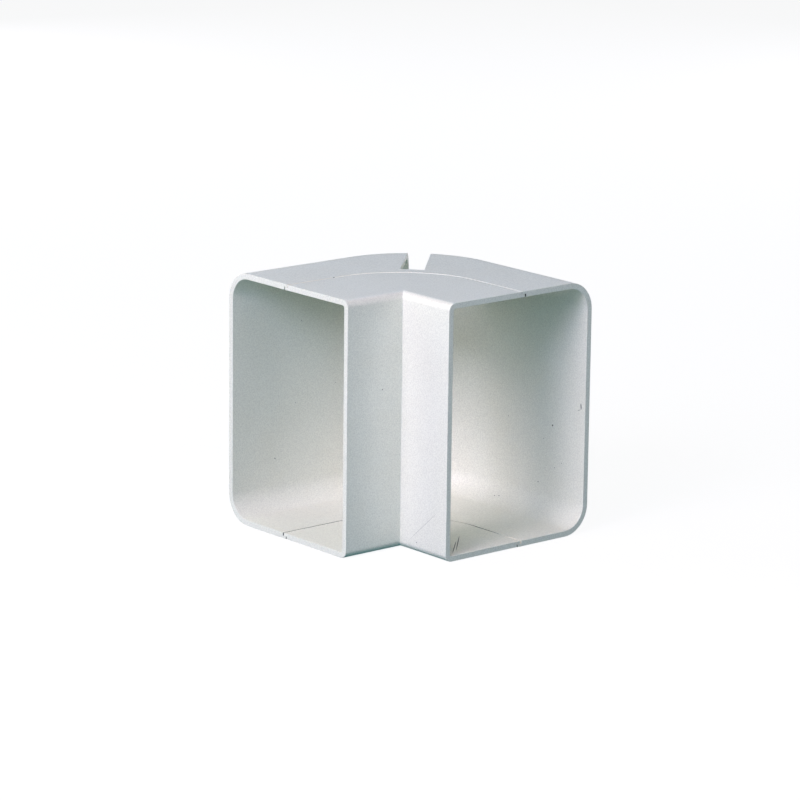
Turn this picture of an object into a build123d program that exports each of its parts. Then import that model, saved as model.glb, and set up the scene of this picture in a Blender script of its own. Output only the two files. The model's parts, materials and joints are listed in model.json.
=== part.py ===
"""Flat duct bend: a two-piece moulded PVC elbow for rectangular duct.

The bend turns the duct through 90 degrees round the outside corner of a wall.
It is split halfway through its depth into two channels. The base channel has a
sharp corner that goes over the wall, and the cover channel closes it on the
outside with large rounded corners. A lap joint runs along both flanges.

Millimetres, +Z up. The bend stands on its lower flange, with the origin under
the middle of its box. One leg opens towards -X and the other towards -Y.
"""

import os

from build123d import *

# Overall form
base_height = 96.0
depth = 69.5
leg_length = 25.7
outer_bend_radius = 43.5

# Base channel
base_wall = 2.1
base_corner_radius = 2.9
base_inner_radius = 1.0
base_rim_round = 0.6

# Cover channel
cover_wall = 2.2
cover_corner_radius = 11.0
cover_proud = 0.1
cover_rim_round = 0.3

# Lap joint between the two flanges
seam_offset = 34.6
tongue_length = 1.6
tongue_setback = 1.0
seam_gap = 0.25
tongue_gap = 0.5
lap_clearance = 0.1

# Notch through the cover's flange and rounded corner, on the middle of the bend
notch_width = 9.0
notch_bridge = 5.4
notch_drop = 12.5

# How far a cutting solid runs past the face that it cuts
overrun = 4.0

# The wall corner's place, which puts the origin in the middle of the bend's box
corner = (leg_length - depth) / 2
leg_end = corner - leg_length

cover_height = base_height + 2 * cover_proud
middle = cover_height / 2
tongue_height = base_height - 2 * tongue_setback


def bend_line(offset, radius, end):
    """Line along both legs, at an offset outwards from the base's wall faces."""
    side = corner + offset
    points = [(end, side), (side, side), (side, end)]
    if radius > 0:
        return FilletPolyline(*points, radius=radius)
    return Polyline(*points)


def bend_solid(inner, outer, height, end=leg_end):
    """Upright solid between two bend lines, each an (offset, radius), about mid-height."""
    inner_line = bend_line(*inner, end)
    outer_line = bend_line(*outer, end)
    first_end = Line(inner_line @ 0, outer_line @ 0)
    second_end = Line(inner_line @ 1, outer_line @ 1)
    outline = Face(Wire([*inner_line.edges(), first_end, *outer_line.edges(), second_end]))
    return Pos(0, 0, middle - height / 2) * extrude(outline, height, dir=(0, 0, 1))


def near(point, line):
    """Whether a point is on a plan line, seen from above."""
    return line.distance_to(Vertex(point.X, point.Y, 0)) < 1e-4


def on_line(solid, offset, radius):
    """The flat-lying edges of a solid whose whole length is on one bend line."""
    line = bend_line(offset, radius, leg_end - overrun)
    level = [edge for edge in solid.edges() if abs((edge @ 0).Z - (edge @ 1).Z) < 1e-6]
    return [edge for edge in level if all(near(edge @ t, line) for t in (0.0, 0.5, 1.0))]


def rim_edges(solid, outer_offset):
    """Edges round the two open ends, apart from the upright ones along the seam."""
    ends = solid.edges().group_by(Axis.X)[0] + solid.edges().group_by(Axis.Y)[0]
    seam_side = corner + outer_offset
    return [e for e in ends if abs(max(e.center().X, e.center().Y) - seam_side) > 1e-4]


# The seam turns about the wall corner, so its radius is its own offset.
seam = (seam_offset, seam_offset)
tongue_tip = (seam_offset + tongue_length, seam_offset + tongue_length)
past_end = leg_end - overrun


def make_base_channel():
    """Inner half: wall panels with a sharp corner, two flanges and their tongues."""
    block = bend_solid((0, 0), seam, base_height)
    block = fillet(on_line(block, 0, 0), base_corner_radius)
    block = fillet(rim_edges(block, seam_offset), base_rim_round)
    tongue_root = (seam_offset - base_wall, seam_offset - base_wall)
    tongue = bend_solid(tongue_root, tongue_tip, tongue_height)
    past_tip = (seam_offset + tongue_length + overrun, seam_offset + tongue_length + overrun)
    hollow = bend_solid((base_wall, 0), past_tip, base_height - 2 * base_wall, past_end)
    hollow = fillet(on_line(hollow, base_wall, 0), base_inner_radius)
    return block + tongue - hollow


def make_notch_cutter():
    """Block on the middle of the bend, from the bridge at the seam out through the wall."""
    start = seam_offset + notch_bridge
    reach = 2 * depth
    cutter = Box(reach, notch_width, notch_drop + overrun, align=(Align.MIN, Align.CENTER, Align.MIN))
    return Pos(corner, corner, cover_height - notch_drop) * Rot(Z=45) * Pos(start, 0, 0) * cutter


def make_cover_channel():
    """Outer half: curved wall, large rounded corners, flanges with lips, and two notches."""
    lip_edge = (seam_offset + seam_gap, seam_offset + seam_gap)
    outer_face = (depth, outer_bend_radius)
    block = bend_solid(lip_edge, outer_face, cover_height)
    block = fillet(on_line(block, *outer_face), cover_corner_radius)
    block = fillet(rim_edges(block, lip_edge[0]), cover_rim_round)
    inside_seam = (seam_offset - overrun, seam_offset - overrun)
    inner_face = (depth - cover_wall, outer_bend_radius - cover_wall)
    hollow = bend_solid(inside_seam, inner_face, cover_height - 2 * cover_wall, past_end)
    hollow = fillet(on_line(hollow, *inner_face), cover_corner_radius - cover_wall)
    rebate_end = (tongue_tip[0] + tongue_gap, tongue_tip[1] + tongue_gap)
    rebate = bend_solid(inside_seam, rebate_end, tongue_height + 2 * lap_clearance, past_end)
    notch = make_notch_cutter()
    lower_notch = mirror(notch, Plane.XY.offset(middle))
    return block - hollow - rebate - notch - lower_notch


os.makedirs("parts", exist_ok=True)
export_step(make_base_channel(), "parts/base_channel.step")
export_step(make_cover_channel(), "parts/cover_channel.step")
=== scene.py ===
"""Flat duct bend: the look of its two moulded PVC channels, with a pale floor and soft studio light.

Each channel is one closed section carried round the bend. A point of the section has an offset
outwards from the wall faces, a height from mid-height and a turn radius, which is the radius of
the arc that the point follows between the two straight legs. Lengths are in metres, except where
a comment says mm.
"""

import json
import math

import bpy
import numpy as np
from mathutils import Matrix, Vector


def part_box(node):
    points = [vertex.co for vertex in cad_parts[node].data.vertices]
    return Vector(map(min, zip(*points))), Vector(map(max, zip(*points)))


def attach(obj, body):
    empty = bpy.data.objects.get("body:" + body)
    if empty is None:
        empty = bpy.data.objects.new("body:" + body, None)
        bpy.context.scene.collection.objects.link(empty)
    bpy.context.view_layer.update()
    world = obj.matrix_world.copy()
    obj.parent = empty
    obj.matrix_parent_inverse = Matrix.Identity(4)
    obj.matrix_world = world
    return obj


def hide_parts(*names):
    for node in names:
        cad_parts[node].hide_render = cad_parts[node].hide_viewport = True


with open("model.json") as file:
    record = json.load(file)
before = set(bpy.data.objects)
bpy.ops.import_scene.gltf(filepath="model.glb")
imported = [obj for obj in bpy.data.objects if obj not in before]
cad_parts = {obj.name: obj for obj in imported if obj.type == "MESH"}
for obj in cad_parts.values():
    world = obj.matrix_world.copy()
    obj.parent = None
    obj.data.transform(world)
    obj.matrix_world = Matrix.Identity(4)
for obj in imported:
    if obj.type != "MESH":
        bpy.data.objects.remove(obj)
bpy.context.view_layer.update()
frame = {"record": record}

bl_info = {
    "name": "Flat duct bend",
    "version": (1, 0, 0),
    "blender": (4, 5, 0),
    "location": "3D View > Sidebar > Duct bend",
    "description": "Builds a two-piece moulded duct bend and its studio stage",
    "category": "Add Mesh",
}

MM = 0.001

# Places that the frame gives
MOUNTS = {mount["name"]: mount["pos_m"] for mount in frame["record"]["mounts"]}
WALL_CORNER = MOUNTS["wall_panel_y_leg"][0]
BASE_LOW, BASE_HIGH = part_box("base_channel")
COVER_LOW, COVER_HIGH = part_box("cover_channel")
LEG_END = COVER_LOW.x
MIDDLE = (COVER_LOW.z + COVER_HIGH.z) / 2

# Steps of the surfaces: round a corner of the section, round an end's rim, along a leg, round the
# base's bend, round the cover's bend on each side of the notch, and across the notch
CORNER_STEPS = 12
RIM_STEPS = 5
LEG_STEPS = 6
BEND_STEPS = 40
BESIDE_NOTCH_STEPS = 24
NOTCH_STEPS = 6

# Corners of the cover's upper section between which the notch goes, outside and inside
NOTCH_OUTSIDE = (0, 2)
NOTCH_INSIDE = (7, 9)

# Turn of the section's outline, in radians, below which a corner is straight
STRAIGHT_TURN = 1e-6

# Share of a section corner's own radius that the rounding of the rim may take
RIM_SHARE = 0.6

# Joint: how square to it a wall faces before the joint's painted shade and painted highlight show there,
# and the share of the painted shade that is gone round the bend
SQUARE_FROM = 0.75
BEND_SHADE_LOSS = 0.8

# Faces that the marks of use lie on, in mm: the outer walls' inside, the wall panels, the top and
# the floor inside
OUTER, PANEL, TOP, FLOOR = 45.4, -21.9, 96.1, 2.2

# Specks that the photo shows: place and half-width in mm, and how dark it is
SPECKS = (
    ((OUTER, -29.9, 37.8), 0.40, 1.0),
    ((OUTER, -35.3, 24.2), 0.24, 0.6),
    ((OUTER, -31.5, 21.8), 0.24, 0.6),
    ((OUTER, -5.1, 36.7), 0.24, 0.5),
    ((OUTER, -25.0, 31.8), 0.24, 0.5),
    ((1.9, OUTER, 46.3), 0.24, 0.5),
    ((-14.9, OUTER, 72.7), 0.24, 0.5),
    ((-17.6, OUTER, 41.3), 0.24, 0.5),
    ((-31.1, PANEL, 61.2), 0.28, 0.8),
    ((PANEL, -31.2, 4.2), 0.28, 0.8),
)

# Scratches that the photo shows: two ends and half-width in mm, and how dark it is
SCRATCHES = (
    ((OUTER, -22.3, 14.5), (OUTER, -22.7, 14.5), 0.22, 0.7),
    ((42.9, -0.6, 4.8), (42.9, -1.0, 4.8), 0.22, 0.7),
    ((43.2, -2.7, 5.2), (43.2, -3.2, 5.2), 0.22, 0.6),
    ((OUTER, -45.2, 49.0), (OUTER, -45.4, 47.0), 0.30, 1.0),
    ((OUTER, -45.2, 46.9), (OUTER, -43.2, 45.9), 0.14, 0.5),
    ((-27.7, OUTER, 21.2), (-27.0, OUTER, 20.8), 0.22, 0.6),
    ((-26.0, 12.9, TOP), (-25.6, 12.9, TOP), 0.30, 0.8),
    ((PANEL, -26.0, 3.3), (PANEL, -43.4, 18.6), 0.10, 0.4),
    ((1.9, -27.8, FLOOR), (-13.8, -43.9, FLOOR), 0.22, 1.0),
    ((-4.0, -32.8, FLOOR), (-17.0, -45.6, FLOOR), 0.22, 1.0),
)

# Share of a mark's half-width over which it fades out
MARK_FADE = 0.35

# Sockets of a Mix node that mixes colours, which share their names with those for numbers
MIX_FROM, MIX_TO, MIX_RESULT = 6, 7, 2

# Softboxes: azimuth and elevation in degrees, width, and the setting that gives colour and power
SOFTBOXES = {
    "left_fill": (130, 30, 0.8, "left_fill"),
    "left_key": (183, 32, 0.5, "left_key"),
    "low_key": (190, 20, 0.5, "low_key"),
    "high_key": (190, 44, 0.5, "high_key"),
    "right_key": (205, 32, 0.5, "right_key"),
    "front_fill": (230, 20, 0.3, "front_fill"),
    "right_fill": (270, 30, 0.8, "right_fill"),
    "back_light": (45, 40, 0.8, "back"),
    "outer_fill_x": (20, 4, 0.25, "outer_fill"),
    "outer_fill_y": (75, 4, 0.25, "outer_fill"),
}

# Lines of the floor's grid each way
FLOOR_LINES = 3


def length(name, description, default):
    """A settable length in metres."""
    return bpy.props.FloatProperty(
        name=name, description=description, default=default, min=0, subtype="DISTANCE", unit="LENGTH"
    )


def place_along(name, description, default):
    """A settable place along a line, in metres, on either side of 0."""
    return bpy.props.FloatProperty(
        name=name, description=description, default=default, subtype="DISTANCE", unit="LENGTH"
    )


def share(name, description, default):
    """A settable share or strength from 0 to 1."""
    return bpy.props.FloatProperty(
        name=name, description=description, default=default, min=0, max=1, subtype="FACTOR"
    )


def power(name, description, watts):
    """A settable power of a light, in watts."""
    return bpy.props.FloatProperty(name=name, description=description, default=watts, min=0, unit="POWER")


def angle(name, description, degrees):
    """A settable angle, given in degrees and kept in radians."""
    return bpy.props.FloatProperty(
        name=name, description=description, default=math.radians(degrees), subtype="ANGLE", unit="ROTATION"
    )


def camera_size(name, description, millimetres):
    """A settable size in the camera, in mm."""
    return bpy.props.FloatProperty(
        name=name, description=description, default=millimetres, min=1, unit="CAMERA"
    )


def linear(hex_colour):
    """The linear RGBA of an sRGB hex colour."""
    channels = np.array([int(hex_colour[i : i + 2], 16) for i in (1, 3, 5)]) / 255
    straight = np.where(channels <= 0.04045, channels / 12.92, ((channels + 0.055) / 1.055) ** 2.4)
    return (*straight.tolist(), 1.0)


def colour(name, description, hex_colour):
    """A settable colour, given as an sRGB hex value."""
    return bpy.props.FloatVectorProperty(
        name=name, description=description, default=linear(hex_colour), size=4, min=0, max=1, subtype="COLOR"
    )


class BendSizes(bpy.types.PropertyGroup):
    """Sizes of the two channels."""

    base_height: length("Base height", "Outside height of the base channel", BASE_HIGH.z - BASE_LOW.z)
    cover_height: length("Cover height", "Outside height of the cover channel", COVER_HIGH.z - COVER_LOW.z)
    depth: length("Depth", "Wall face to the cover's outer face", COVER_HIGH.x - WALL_CORNER)
    tongue_tip: length("Tongue tip", "Wall face to the tip of the base's tongue", BASE_HIGH.x - WALL_CORNER)
    bend_radius: length("Bend radius", "Radius of the cover's outer face round the bend", 43.5 * MM)
    base_wall: length("Base wall", "Wall thickness of the base", 2.1 * MM)
    base_corner: length("Base corner", "Rounding of the base's long outer corners", 2.9 * MM)
    base_inner_corner: length("Base inner corner", "Rounding of the base's long inner corners", 1.0 * MM)
    base_rim: length("Base rim", "Rounding of the base's end edges", 0.12 * MM)
    cover_wall: length("Cover wall", "Wall thickness of the cover", 2.2 * MM)
    cover_corner: length("Cover corner", "Rounding of the cover's long outer corners", 11.0 * MM)
    cover_rim: length("Cover rim", "Rounding of the cover's end edges", 0.15 * MM)
    seam_offset: length("Seam offset", "Wall face to the seam", 34.6 * MM)
    seam_gap: length("Seam gap", "Gap between base and cover along the seam", 0.25 * MM)
    tongue_gap: length("Tongue gap", "Gap between the tongue's tip and the cover", 0.5 * MM)
    tongue_setback: length("Tongue setback", "Step from the base's outside to its tongue", 1.0 * MM)
    lap_clearance: length("Lap clearance", "Gap between the tongue and the cover's lip", 0.1 * MM)
    lap_round: length("Lap rounding", "Rounding of the lap joint's edges", 0.12 * MM)
    wall_fillet: length("Wall corner fillet", "Fillet where the two wall panels meet", 0.3 * MM)
    notch_width: length("Notch width", "Width of the notch across the bend", 9.0 * MM)
    notch_bridge: length("Notch bridge", "Strip of flange left between seam and notch", 5.4 * MM)
    notch_drop: length("Notch drop", "How far the notch goes down the outer wall", 12.5 * MM)


class PvcFinish(bpy.types.PropertyGroup):
    """Colours and texture of the moulded PVC."""

    body: colour("Body", "Colour of the PVC", "#E6E5D7")
    blush: colour("Blush", "Colour of its paler, cooler patches", "#EAEBE0")
    # Dark colour for the real dirt of the specks and scratches and for the painted shade in the lap joint.
    soil: colour("Soil", "Colour of the dirt in scratches, in specks and in the joint", "#3E3E36")
    # Pale colour for the painted highlight on edges of the lap joint.
    painted_highlight: colour("Worn", "Colour of the edges that are rubbed bright", "#FFF8E8")
    roughness: share("Roughness", "Roughness of the moulded skin", 0.42)
    grain: length("Grain", "Width of the moulded skin's grain", 0.5 * MM)
    grain_depth: length("Grain depth", "Depth of the moulded skin's grain", 0.035 * MM)
    mottle: share("Mottle", "How much the grain changes the colour", 0.50)
    patch: length("Patch", "Width of the faint patches of colour", 22.0 * MM)
    # Painted light of the lap joint: painted shade on the upper lip of the -Y leg, painted highlight on that
    # of the -X leg, and the place along Y where the lower inner joint's painted shade turns to painted
    # highlight, over the fade length.
    seam_painted_shade: share("Seam soil", "Dirt on the lip along the upper seam of the -Y leg", 0.25)
    seam_painted_highlight: share("Seam wear", "Wear on the lip along the upper seam of the -X leg", 1.0)
    shade_to_highlight_at: place_along("Worn end", "Where along Y the inner joint turns from dirty to worn", -36.5 * MM)
    joint_fade: length("Joint fade", "Length over which dirt in the joint comes and goes", 4.0 * MM)


class StudioSettings(bpy.types.PropertyGroup):
    """Floor, light and camera."""

    floor: colour("Floor", "Colour of the unlit light table", "#5A5A5A")
    floor_light: colour("Floor light", "Colour of the light through the table", "#FFFFFF")
    floor_glow: share("Floor glow", "Strength of the light through the table", 0.92)
    floor_width: length("Floor width", "Width of the light table each way", 12.0)
    left_fill: colour("Left fill", "Colour of the fill behind the left opening", "#F4FFF2")
    left_fill_power: power("Left fill power", "Power of the fill behind the left opening", 4.79)
    left_key: colour("Left key", "Colour of the main softbox, at the left", "#EFEAFF")
    left_key_power: power("Left key power", "Power of the main softbox, at the left", 6.78)
    low_key: colour("Low key", "Colour of the low softbox at the left", "#FFEEF5")
    low_key_power: power("Low key power", "Power of the low softbox at the left", 4.31)
    high_key: colour("High key", "Colour of the high softbox at the left", "#FFE4D1")
    high_key_power: power("High key power", "Power of the high softbox at the left", 2.85)
    right_key: colour("Right key", "Colour of the softbox left of the camera", "#DBDBFF")
    right_key_power: power("Right key power", "Power of the softbox left of the camera", 6.57)
    front_fill: colour("Front fill", "Colour of the small fill beside the camera", "#A6D8FF")
    front_fill_power: power("Front fill power", "Power of the small fill beside the camera", 1.61)
    right_fill: colour("Right fill", "Colour of the fill at the right", "#FFF8FE")
    right_fill_power: power("Right fill power", "Power of the fill at the right", 4.47)
    outer_fill: colour("Outer fill", "Colour of the two fills on the cover's outer faces", "#F6ECFF")
    outer_fill_power: power("Outer fill power", "Power of each fill on the outer faces", 7.0)
    back: colour("Back light", "Colour of the light behind the bend", "#68CBFF")
    back_power: power("Back light power", "Power of the light behind the bend", 2.29)
    softbox_distance: length("Softbox distance", "Middle of the bend to each softbox", 1.3)
    ground: colour("Ground", "Colour of the light from below", "#6CF0FF")
    ground_strength: share("Ground strength", "Strength of the light from below", 0.175)
    azimuth: angle("Azimuth", "Direction of view, from +X towards +Y", 49.80)
    elevation: angle("Elevation", "How far the camera looks down", 13.646)
    roll: angle("Roll", "Turn of the camera about its line of sight", 0.69)
    distance: length("Distance", "Camera to the middle of the wall corner", 1439.4 * MM)
    focal_length: camera_size("Focal length", "Focal length of the lens, in mm", 177.75)
    sensor_width: camera_size("Sensor width", "Width of the camera's sensor, in mm", 36.0)
    aim_right: place_along("Aim right", "Wall corner's place right of the image's middle", 0.533 * MM)
    aim_up: place_along("Aim up", "Wall corner's place above the image's middle", -7.614 * MM)


def rounded_outline(corners):
    """Closed outline with rounded corners.

    A corner is (offset, height, radius), in order with the solid on the left. Its arc is centred
    where the two lines, moved in by the radius, meet. The outward normal turns evenly from one
    line's to the other's, and the arc's points are the radius along it, inwards at a hollow corner.
    Gives the points, their outward normals, each corner's first point and each point's corner.
    """
    table = np.array(corners, float)
    spots, radii = table[:, :2], table[:, 2]
    ahead = np.roll(spots, -1, axis=0) - spots
    ahead /= np.linalg.norm(ahead, axis=1, keepdims=True)
    after = np.stack([ahead[:, 1], -ahead[:, 0]], axis=1)
    before = np.roll(after, 1, axis=0)
    cosine = (before * after).sum(1)
    sine = before[:, 0] * after[:, 1] - before[:, 1] * after[:, 0]
    turn = np.arctan2(sine, cosine)
    side = np.sign(np.where(np.abs(turn) < STRAIGHT_TURN, 0, turn))
    reach = (before + after) / (1 + cosine)[:, None]
    centres = spots - (side * radii)[:, None] * reach
    counts = np.where(side == 0, 1, CORNER_STEPS + 1)
    which = np.repeat(np.arange(len(table)), counts)
    first = np.concatenate([[0], np.cumsum(counts)[:-1]])
    along = (np.arange(len(which)) - first[which]) / CORNER_STEPS
    heading = np.arctan2(before[:, 1], before[:, 0])[which] + turn[which] * along
    normals = np.stack([np.cos(heading), np.sin(heading)], axis=1)
    points = centres[which] + (side * radii)[which, None] * normals
    return points, normals, first, which


def carried_round_bend(outline, normals, turn, rim, swing):
    """Outline carried round the bend, as grids of points and normals: (stations, outline points, 3).

    The first leg goes along X. Over its first stretch, as long as the rim's rounding, the outline
    is drawn in along its normals by a quarter circle. Then it is straight to where the point's arc
    starts. The arc is about the point on the diagonal that is the turn radius in from the offset,
    and swing is the angle from the diagonal at each of its stations. The second leg is the first
    with X and Y exchanged.
    """
    offset, height = outline.T
    tilt = np.linspace(math.pi / 2, 0, RIM_STEPS + 1)[:, None]
    inset = rim * (1 - np.cos(tilt))
    from_end = rim * (1 - np.sin(tilt))
    straight = np.linspace(0, 1, LEG_STEPS + 1)[1:, None]
    centre = WALL_CORNER + offset - turn
    rim_x = LEG_END + from_end
    leg_x = rim_x[-1] + (centre - rim_x[-1]) * straight
    x = np.concatenate([rim_x, leg_x])
    drawn = np.concatenate([inset, np.zeros_like(leg_x)])
    y = WALL_CORNER + offset - normals[:, 0] * drawn
    z = MIDDLE + height - normals[:, 1] * drawn
    leg = np.stack([x, y, z], axis=2)
    lean = np.concatenate([np.sin(tilt), np.zeros_like(straight)])
    upright = np.sqrt(1 - lean**2)
    leaning = np.broadcast_arrays(-lean, upright * normals[:, 0], upright * normals[:, 1])
    leg_normals = np.stack(leaning, axis=2)
    around = math.pi / 4 + swing[1:-1]
    cosine, sine, level = np.cos(around), np.sin(around), np.ones_like(around)
    arc = np.stack([centre + turn * cosine, centre + turn * sine, (MIDDLE + height) * level], axis=2)
    arc_normals = np.stack([normals[:, 0] * cosine, normals[:, 0] * sine, normals[:, 1] * level], axis=2)
    exchanged = [1, 0, 2]
    points = np.concatenate([leg, arc, leg[::-1][:, :, exchanged]])
    directions = np.concatenate([leg_normals, arc_normals, leg_normals[::-1][:, :, exchanged]])
    return points, directions


def grid_faces(stations, around):
    """Quads of a grid that closes on itself across the stations, as corner numbers."""
    station, point = np.meshgrid(np.arange(stations - 1), np.arange(around), indexing="ij")
    beside = (point + 1) % around
    here, ahead = station * around, (station + 1) * around
    return np.stack([here + point, here + beside, ahead + beside, ahead + point], axis=2)


def strip_faces(one, other):
    """Quads between two rows of vertex numbers."""
    return np.stack([one[:-1], one[1:], other[1:], other[:-1]], axis=1)


def add_piece(name, points, faces, corner_normals, corner_painted_light):
    """Mesh object from vertex places, faces, and the normal and the joint's painted light of each face
    corner.
    """
    mesh = bpy.data.meshes.new(name)
    mesh.from_pydata(points.tolist(), [], faces)
    mesh.polygons.foreach_set("use_smooth", np.ones(len(faces), bool))
    mesh.normals_split_custom_set(corner_normals.tolist())
    # The lap joint's painted light is stored in an attribute: painted shade above 0, painted highlight below
    # 0.
    mesh.attributes.new("soil", "FLOAT", "CORNER").data.foreach_set("value", corner_painted_light)
    mesh.validate()
    piece = bpy.data.objects.new(name, mesh)
    bpy.context.scene.collection.objects.link(piece)
    return piece


def closed_channel(points, normals, soil, quads, walls=()):
    """Faces of a swept channel, with the normal and the joint's painted light of each of their corners.

    The faces are its skin, the flat faces of its ends and extra walls. A wall is (quads, normal),
    with one normal for all of its corners. The end faces and the walls carry no painted light.
    """
    stations, around = points.shape[:2]
    flat_normals = normals.reshape(-1, 3)
    first_end = np.arange(around)[::-1]
    last_end = np.arange(around) + (stations - 1) * around
    faces = [*quads.tolist(), first_end.tolist(), last_end.tolist()]
    corners = [flat_normals[quads.ravel()], flat_normals[first_end], flat_normals[last_end]]
    for wall_quads, normal in walls:
        faces += wall_quads.tolist()
        corners.append(np.tile(normal, (wall_quads.size, 1)))
    corner_normals = np.concatenate(corners)
    # Painted light of the lap joint, on the skin's corners only; the end faces and walls get none.
    corner_painted_light = np.zeros(len(corner_normals))
    corner_painted_light[: quads.size] = soil.ravel()[quads.ravel()]
    return faces, corner_normals, corner_painted_light


def rim_of(which, corners, rim):
    """End rounding at each outline point: the rim's, or a share of the corner's own if that is less."""
    radii = np.array(corners, float)[:, 2]
    return np.where(radii > 0, np.minimum(RIM_SHARE * radii, rim), rim)[which]


def base_section(sizes):
    """Corners of the base's section, from the lower wall corner round to the upper one."""
    high = sizes.base_height / 2
    inner = high - sizes.base_wall
    tongue = high - sizes.tongue_setback
    seam, tip, lap = sizes.seam_offset, sizes.tongue_tip, sizes.lap_round
    upper = [
        (sizes.base_wall, inner, sizes.base_inner_corner),
        (tip, inner, lap),
        (tip, tongue, lap),
        (seam, tongue, lap / 2),
        (seam, high, lap),
        (0, high, sizes.base_corner),
    ]
    lower = [(offset, -height, radius) for offset, height, radius in reversed(upper)]
    return lower + upper


def cover_section(sizes):
    """Corners of the cover's section, from the notch's foot over the top and back inside, then below."""
    high = sizes.cover_height / 2
    inner = high - sizes.cover_wall
    rebate = sizes.base_height / 2 - sizes.tongue_setback + sizes.lap_clearance
    lip = sizes.seam_offset + sizes.seam_gap
    rebate_end = sizes.tongue_tip + sizes.tongue_gap
    notch = sizes.seam_offset + sizes.notch_bridge
    notch_foot = high - sizes.notch_drop
    inside = sizes.depth - sizes.cover_wall
    lap = sizes.lap_round
    upper = [
        (sizes.depth, notch_foot, 0),
        (sizes.depth, high, sizes.cover_corner),
        (notch, high, 0),
        (lip, high, lap),
        (lip, rebate, lap),
        (rebate_end, rebate, lap / 2),
        (rebate_end, inner, lap),
        (notch, inner, 0),
        (inside, inner, sizes.cover_corner - sizes.cover_wall),
        (inside, notch_foot, 0),
    ]
    lower = [(offset, -height, radius) for offset, height, radius in reversed(upper)]
    return upper + lower


def base_turn(offset, sizes):
    """Turn radius of a point of the base: a small fillet at the wall panels, the offset at the seam."""
    seam, tip, corner = sizes.seam_offset, sizes.tongue_tip, sizes.base_corner
    return np.interp(offset, [corner, seam - corner, tip], [sizes.wall_fillet, seam - corner, tip])


def cover_turn(offset, sizes):
    """Turn radius of a point of the cover: the offset as far as the notch, then up to the bend radius."""
    notch = sizes.seam_offset + sizes.notch_bridge
    return np.interp(
        offset,
        [sizes.seam_offset, notch, sizes.depth - sizes.cover_corner, sizes.depth],
        [sizes.seam_offset, notch, sizes.bend_radius - sizes.cover_corner, sizes.bend_radius],
    )


def even_swing(turn):
    """Angle from the diagonal at each station and point, in even steps from one leg to the other."""
    return np.linspace(math.pi / 4, -math.pi / 4, BEND_STEPS + 1)[:, None] * np.ones_like(turn)


def notched_swing(turn, notch_width):
    """Angle from the diagonal at each station and point, with stations along the notch's two sides.

    A side of the notch is at the angle whose sine is half of the notch's width over the turn
    radius. The steps are even from the leg to the notch, across it, and on to the other leg.
    """
    edge = np.arcsin(notch_width / 2 / turn)
    beside = np.linspace(0, 1, BESIDE_NOTCH_STEPS + 1)[:, None]
    across = np.linspace(1, -1, NOTCH_STEPS + 1)[:, None]
    before = math.pi / 4 + (edge - math.pi / 4) * beside
    return np.concatenate([before, (edge * across)[1:-1], -before[::-1]])


def cut_notches(quads, first):
    """The skin's quads that the two notches leave, and the walls of the notches, as (quads, normal).

    Between the notch's corners, the quads of the middle stations go, outside and inside. The side
    walls join the outside's edge to the inside's at the first and the last of those stations. The
    walls at the notch's foot and head join them across the notch. The lower notch has the corners
    that mirror the upper one's.
    """
    around = quads.shape[1]
    middle = (quads.shape[0] + 1) // 2
    cut = np.arange(middle - NOTCH_STEPS // 2, middle + NOTCH_STEPS // 2 + 1)
    diagonal = np.array([1, 1, 0]) / math.sqrt(2)
    sideways = np.array([1, -1, 0]) / math.sqrt(2)
    mirrored = len(first) - 1 - np.array([NOTCH_OUTSIDE[::-1], NOTCH_INSIDE[::-1]])
    keep = np.ones(quads.shape[:2], bool)
    walls = []
    for (outside, inside), up in (((NOTCH_OUTSIDE, NOTCH_INSIDE), 1), (mirrored, -1)):
        outer = np.arange(first[outside[0]], first[outside[1]] + 1)
        inner = np.arange(first[inside[0]], first[inside[1]] + 1)
        keep[np.ix_(cut[:-1], outer[:-1])] = False
        keep[np.ix_(cut[:-1], inner[:-1])] = False
        inner = inner[::-1]
        walls.append((strip_faces(cut[0] * around + outer, cut[0] * around + inner), sideways))
        walls.append((strip_faces(cut[-1] * around + inner, cut[-1] * around + outer), -sideways))
        foot, head = (0, -1) if up > 0 else (-1, 0)
        for at, normal in ((foot, np.array([0, 0, up])), (head, diagonal)):
            one, other = cut * around + outer[at], cut * around + inner[at]
            walls.append((strip_faces(other, one) if at == 0 else strip_faces(one, other), normal))
    return quads[keep], walls


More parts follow.
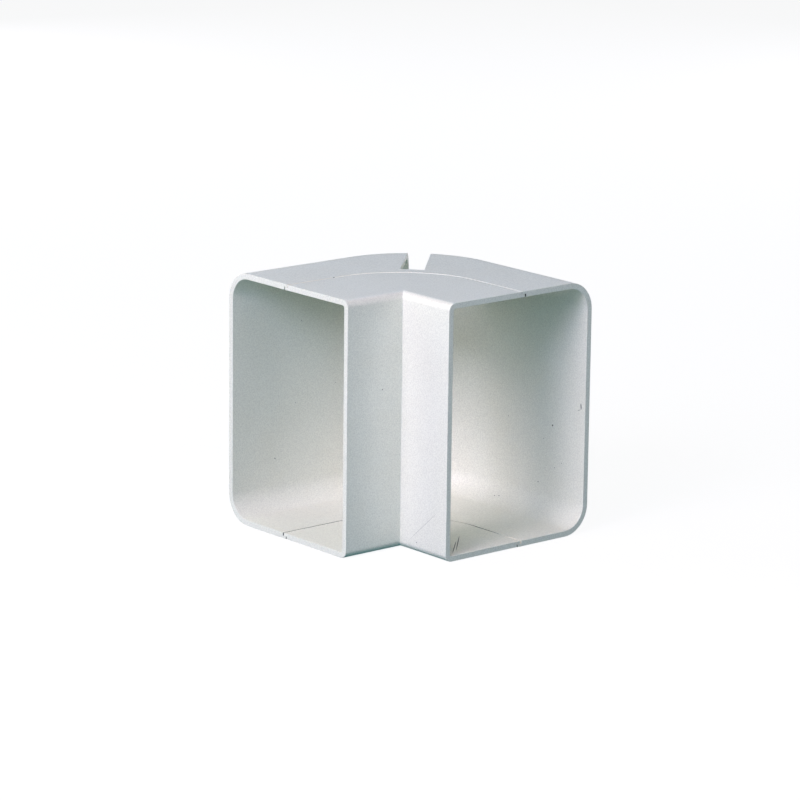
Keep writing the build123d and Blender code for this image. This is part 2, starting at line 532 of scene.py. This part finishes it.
def painted_joint_light(points, outline, outward, facing, sizes, finish):
    """Painted light on the lap joint's walls at each grid point: 1 is full painted shade, 0 is none and -1
    is full painted highlight.

    A wall of the joint is where the outward normal is square to it, inside the flange's thickness.
    The upper seam's lip goes from painted highlight on the -X leg to a little painted shade on the -Y
    leg, and the upper inner joint from none to full painted shade. The lower inner joint has painted
    shade on the straight legs that fades round the bend, and painted highlight at the -Y open end.
    """
    offset, height = outline.T
    x, y = points[:, :, 0], points[:, :, 1]
    square = np.clip((facing * outward[:, 0] - SQUARE_FROM) / (1 - SQUARE_FROM), 0, 1)
    past_seam = offset > sizes.seam_offset - sizes.lap_round
    before_end = offset < sizes.tongue_tip + 2 * sizes.tongue_gap
    at_seam = offset < (sizes.seam_offset + sizes.tongue_tip) / 2
    leg = np.clip((x - y) / sizes.seam_offset, -1, 1)
    # Painted highlight on the upper lip of the -X leg, a little painted shade on that of the -Y leg, full
    # painted shade on the lower lip.
    lip = np.where(height > 0, np.interp(leg, [-1, 1], [-finish.seam_painted_highlight, finish.seam_painted_shade]), 1.0)
    # Painted shade in the lower inner joint turns to painted highlight near the -Y open end and fades round
    # the bend; the upper inner joint gets more painted shade towards the -Y leg.
    open_end = np.clip((y - finish.shade_to_highlight_at) / finish.joint_fade, -1, 1)
    round_bend = np.clip((np.minimum(x, y) - WALL_CORNER) / (2 * finish.joint_fade), 0, BEND_SHADE_LOSS)
    inner = np.where(height > 0, (1 + leg) / 2, open_end * (1 - round_bend))
    return np.where(at_seam, lip, inner) * square * (past_seam & before_end)


def add_node(tree, kind, inputs=None, **settings):
    """Node of a kind with its settings; an input is a value or an output socket to link."""
    node = tree.nodes.new(kind)
    for key, value in settings.items():
        setattr(node, key, value)
    for key, value in (inputs or {}).items():
        if isinstance(value, bpy.types.NodeSocket):
            tree.links.new(value, node.inputs[key])
        else:
            node.inputs[key].default_value = value
    return node


def mark_amount(tree, place, start, end, half_width, dark):
    """Darkness of one mark: even along its line, fading to 0 at its ends and half-width."""
    start, end, half_width = Vector(start) * MM, Vector(end) * MM, half_width * MM
    along = end - start
    own = add_node(tree, "ShaderNodeMapping", {
        "Vector": place,
        "Location": (start + end) / 2,
        "Rotation": along.to_track_quat("X", "Z").to_euler() if along.length > 0 else (0, 0, 0),
        "Scale": (along.length / 2 + half_width, half_width, half_width),
    }, vector_type="TEXTURE")
    fade = add_node(tree, "ShaderNodeTexGradient", {"Vector": own.outputs["Vector"]},
                    gradient_type="SPHERICAL")
    return add_node(tree, "ShaderNodeMapRange", {
        "Value": fade.outputs["Fac"], "From Max": MARK_FADE, "To Max": dark,
    }).outputs["Result"]


def moulded_pvc(finish):
    """Rigid white PVC, injection moulded in a spark-eroded mould.

    The eye sees a satin skin with soft broad highlights, a fine grain, faint patches of cooler
    white, painted shade and painted highlight on the walls of the joint, and the few specks and scratches
    that the photo shows.
    """
    material = bpy.data.materials.get("moulded_pvc_white")
    if material:
        return material
    material = bpy.data.materials.new("moulded_pvc_white")
    material.use_nodes = True
    tree = material.node_tree
    tree.nodes.clear()
    place = add_node(tree, "ShaderNodeTexCoord").outputs["Object"]
    patches = add_node(tree, "ShaderNodeTexNoise", {
        "Vector": place, "Scale": 1 / finish.patch, "Detail": 3.0,
    }).outputs["Fac"]
    body = add_node(tree, "ShaderNodeMix", {
        "Factor": patches, MIX_FROM: finish.body, MIX_TO: finish.blush,
    }, data_type="RGBA")
    # The real grain is too fine for the image, so it is drawn as coarse as the photo's mottle.
    grain = add_node(tree, "ShaderNodeTexNoise", {
        "Vector": place, "Scale": 1 / finish.grain, "Detail": 2.0,
    }).outputs["Fac"]
    tone = add_node(tree, "ShaderNodeMapRange", {
        "Value": grain, "To Min": 1 - finish.mottle / 2, "To Max": 1 + finish.mottle / 2,
    })
    mottled = add_node(tree, "ShaderNodeVectorMath", {
        0: body.outputs[MIX_RESULT], "Scale": tone.outputs["Result"],
    }, operation="SCALE")
    # The joint's painted light: painted shade above 0, painted highlight below 0.
    marks_and_joint_shade = add_node(tree, "ShaderNodeAttribute", attribute_name="soil").outputs["Fac"]
    joint_highlight = add_node(tree, "ShaderNodeMath", {0: marks_and_joint_shade, 1: -1.0}, operation="MULTIPLY").outputs["Value"]
    # Painted highlight: the joint's values below 0 turn the colour towards the pale colour.
    highlighted = add_node(tree, "ShaderNodeMix", {
        "Factor": joint_highlight, MIX_FROM: mottled.outputs["Vector"], MIX_TO: finish.painted_highlight,
    }, data_type="RGBA")
    specks = [(spot, spot, half_width, dark) for spot, half_width, dark in SPECKS]
    for mark in (*specks, *SCRATCHES):
        marks_and_joint_shade = add_node(tree, "ShaderNodeMath", {0: marks_and_joint_shade, 1: mark_amount(tree, place, *mark)},
                        operation="MAXIMUM").outputs["Value"]
    # The dark colour gives the joint's painted shade and the real dirt of the specks and scratches.
    skin = add_node(tree, "ShaderNodeMix", {
        "Factor": marks_and_joint_shade, MIX_FROM: highlighted.outputs[MIX_RESULT], MIX_TO: finish.soil,
    }, data_type="RGBA")
    bump = add_node(tree, "ShaderNodeBump", {"Height": grain, "Distance": finish.grain_depth})
    shader = add_node(tree, "ShaderNodeBsdfPrincipled", {
        "Base Color": skin.outputs[MIX_RESULT],
        "Roughness": finish.roughness,
        "IOR": 1.53,
        "Normal": bump.outputs["Normal"],
    })
    add_node(tree, "ShaderNodeOutputMaterial", {"Surface": shader.outputs["BSDF"]})
    return material


def opal_acrylic(studio):
    """Opal acrylic sheet over a light box: the eye sees plain white, with hardly a shadow on it."""
    material = bpy.data.materials.new("opal_acrylic_light_table")
    material.use_nodes = True
    tree = material.node_tree
    tree.nodes.clear()
    shader = add_node(tree, "ShaderNodeBsdfPrincipled", {
        "Base Color": studio.floor,
        "Roughness": 0.9,
        "Specular IOR Level": 0.0,
        "Emission Color": studio.floor_light,
        "Emission Strength": studio.floor_glow,
    })
    add_node(tree, "ShaderNodeOutputMaterial", {"Surface": shader.outputs["BSDF"]})
    return material


def finish_piece(piece, node, finish):
    """Gives a channel its material, and puts it in its CAD node's place on the one body."""
    piece.data.materials.append(moulded_pvc(finish))
    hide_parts(node)
    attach(piece, "root")


class DUCTBEND_OT_base_channel(bpy.types.Operator):
    """Builds the inner half, with its wall panels, flanges and tongues."""

    bl_idname = "ductbend.base_channel"
    bl_label = "Base channel"

    def execute(self, context):
        sizes, finish = context.scene.duct_bend_sizes, context.scene.duct_bend_finish
        corners = base_section(sizes)
        outline, outward, _, which = rounded_outline(corners)
        turn = base_turn(outline[:, 0], sizes)
        rim = rim_of(which, corners, sizes.base_rim)
        points, normals = carried_round_bend(outline, outward, turn, rim, even_swing(turn))
        quads = grid_faces(*points.shape[:2]).reshape(-1, 4)
        # Painted shade and painted highlight on the walls of the base's lap joint.
        soil = painted_joint_light(points, outline, outward, 1, sizes, finish)
        closed = closed_channel(points, normals, soil, quads)
        piece = add_piece("base_channel_moulding", points.reshape(-1, 3), *closed)
        finish_piece(piece, "base_channel", finish)
        return {"FINISHED"}


class DUCTBEND_OT_cover_channel(bpy.types.Operator):
    """Builds the outer half, with its curved wall, rounded corners, lips and two notches."""

    bl_idname = "ductbend.cover_channel"
    bl_label = "Cover channel"

    def execute(self, context):
        sizes, finish = context.scene.duct_bend_sizes, context.scene.duct_bend_finish
        corners = cover_section(sizes)
        outline, outward, first, which = rounded_outline(corners)
        turn = cover_turn(outline[:, 0], sizes)
        rim = rim_of(which, corners, sizes.cover_rim)
        swing = notched_swing(turn, sizes.notch_width)
        points, normals = carried_round_bend(outline, outward, turn, rim, swing)
        quads, walls = cut_notches(grid_faces(*points.shape[:2]), first)
        # Painted shade and painted highlight on the walls of the cover's lap joint.
        soil = painted_joint_light(points, outline, outward, -1, sizes, finish)
        closed = closed_channel(points, normals, soil, quads, walls)
        piece = add_piece("cover_channel_moulding", points.reshape(-1, 3), *closed)
        finish_piece(piece, "cover_channel", finish)
        return {"FINISHED"}


def add_floor(scene, studio):
    """Wide floor at height 0, as a flat grid over X and Y."""
    across = np.linspace(-studio.floor_width / 2, studio.floor_width / 2, FLOOR_LINES)
    x, y = np.meshgrid(across, across, indexing="ij")
    points = np.stack([x, y, np.zeros_like(x)], axis=2).reshape(-1, 3)
    number = np.arange(x.size).reshape(x.shape)
    corners = [number[:-1, :-1], number[1:, :-1], number[1:, 1:], number[:-1, 1:]]
    mesh = bpy.data.meshes.new("floor")
    mesh.from_pydata(points.tolist(), [], np.stack(corners, axis=2).reshape(-1, 4).tolist())
    mesh.materials.append(opal_acrylic(studio))
    floor = bpy.data.objects.new("floor", mesh)
    floor.visible_diffuse = False
    floor.visible_glossy = False
    scene.collection.objects.link(floor)


def from_bearing(azimuth, elevation):
    """Unit direction at an azimuth from +X towards +Y and an elevation, both in radians."""
    level = math.cos(elevation)
    return Vector((level * math.cos(azimuth), level * math.sin(azimuth), math.sin(elevation)))


def add_glow(scene, studio):
    """World that is dark above and glows faintly below the horizon."""
    world = bpy.data.worlds.new("light_from_below")
    world.use_nodes = True
    tree = world.node_tree
    tree.nodes.clear()
    direction = add_node(tree, "ShaderNodeTexCoord").outputs["Generated"]
    height = add_node(tree, "ShaderNodeSeparateXYZ", {"Vector": direction}).outputs["Z"]
    below = add_node(tree, "ShaderNodeMath", {0: height, 1: 0.0}, operation="LESS_THAN").outputs["Value"]
    strength = add_node(tree, "ShaderNodeMath", {0: below, 1: studio.ground_strength}, operation="MULTIPLY")
    ground = add_node(tree, "ShaderNodeBackground", {
        "Color": studio.ground, "Strength": strength.outputs["Value"],
    })
    add_node(tree, "ShaderNodeOutputWorld", {"Surface": ground.outputs["Background"]})
    scene.world = world


def add_softboxes(scene, studio):
    """Square softboxes round the bend, all at one distance from its middle and aimed at it."""
    for name, (azimuth, elevation, width, setting) in SOFTBOXES.items():
        light = bpy.data.lights.new(name, "AREA")
        light.size = width
        light.color = getattr(studio, setting)[:3]
        light.energy = getattr(studio, setting + "_power")
        softbox = bpy.data.objects.new(name, light)
        towards = from_bearing(math.radians(azimuth), math.radians(elevation))
        softbox.location = Vector((0, 0, MIDDLE)) + studio.softbox_distance * towards
        softbox.rotation_euler = towards.to_track_quat("Z", "Y").to_euler()
        scene.collection.objects.link(softbox)


def add_camera(scene, studio):
    """Camera that looks down at the wall corner from the open side of the bend."""
    ahead = from_bearing(studio.azimuth, -studio.elevation)
    level = Vector((math.sin(studio.azimuth), -math.cos(studio.azimuth), 0))
    above = level.cross(ahead)
    right = math.cos(studio.roll) * level + math.sin(studio.roll) * above
    up = math.cos(studio.roll) * above - math.sin(studio.roll) * level
    target = Vector((WALL_CORNER, WALL_CORNER, MIDDLE))
    place = target - studio.aim_right * right - studio.aim_up * up - studio.distance * ahead
    lens = bpy.data.cameras.new("camera")
    lens.sensor_width = studio.sensor_width
    lens.lens = studio.focal_length
    lens.clip_end = 50.0
    camera = bpy.data.objects.new("camera", lens)
    turned = Matrix((right, up, -ahead)).transposed()
    camera.matrix_world = Matrix.Translation(place) @ turned.to_4x4()
    scene.collection.objects.link(camera)
    scene.camera = camera
    scene.view_settings.view_transform = "Standard"


class DUCTBEND_OT_stage(bpy.types.Operator):
    """Sets the pale floor, the soft light and the camera."""

    bl_idname = "ductbend.stage"
    bl_label = "Studio stage"

    def execute(self, context):
        studio = context.scene.duct_bend_studio
        add_floor(context.scene, studio)
        add_glow(context.scene, studio)
        add_softboxes(context.scene, studio)
        add_camera(context.scene, studio)
        return {"FINISHED"}


GROUPS = {
    "duct_bend_sizes": BendSizes,
    "duct_bend_finish": PvcFinish,
    "duct_bend_studio": StudioSettings,
}
OPERATORS = (DUCTBEND_OT_base_channel, DUCTBEND_OT_cover_channel, DUCTBEND_OT_stage)


class DUCTBEND_PT_panel(bpy.types.Panel):
    """Lists the sizes, the finish and the stage's settings, and the operators that build them."""

    bl_idname = "DUCTBEND_PT_panel"
    bl_label = "Duct bend"
    bl_space_type = "VIEW_3D"
    bl_region_type = "UI"
    bl_category = "Duct bend"

    def draw(self, context):
        for name, group in GROUPS.items():
            for setting in group.__annotations__:
                self.layout.prop(getattr(context.scene, name), setting)
        for operator in OPERATORS:
            self.layout.operator(operator.bl_idname)


CLASSES = (*GROUPS.values(), *OPERATORS, DUCTBEND_PT_panel)


def register():
    """Registers the classes and hangs each group of settings on the scene."""
    for cls in CLASSES:
        bpy.utils.register_class(cls)
    for name, group in GROUPS.items():
        setattr(bpy.types.Scene, name, bpy.props.PointerProperty(type=group))


def unregister():
    """Takes the settings and the classes away again."""
    for name in GROUPS:
        delattr(bpy.types.Scene, name)
    for cls in reversed(CLASSES):
        bpy.utils.unregister_class(cls)


def main():
    """Builds the bend and its stage."""
    register()
    bpy.ops.ductbend.base_channel()
    bpy.ops.ductbend.cover_channel()
    bpy.ops.ductbend.stage()


if __name__ == "__main__":
    main()
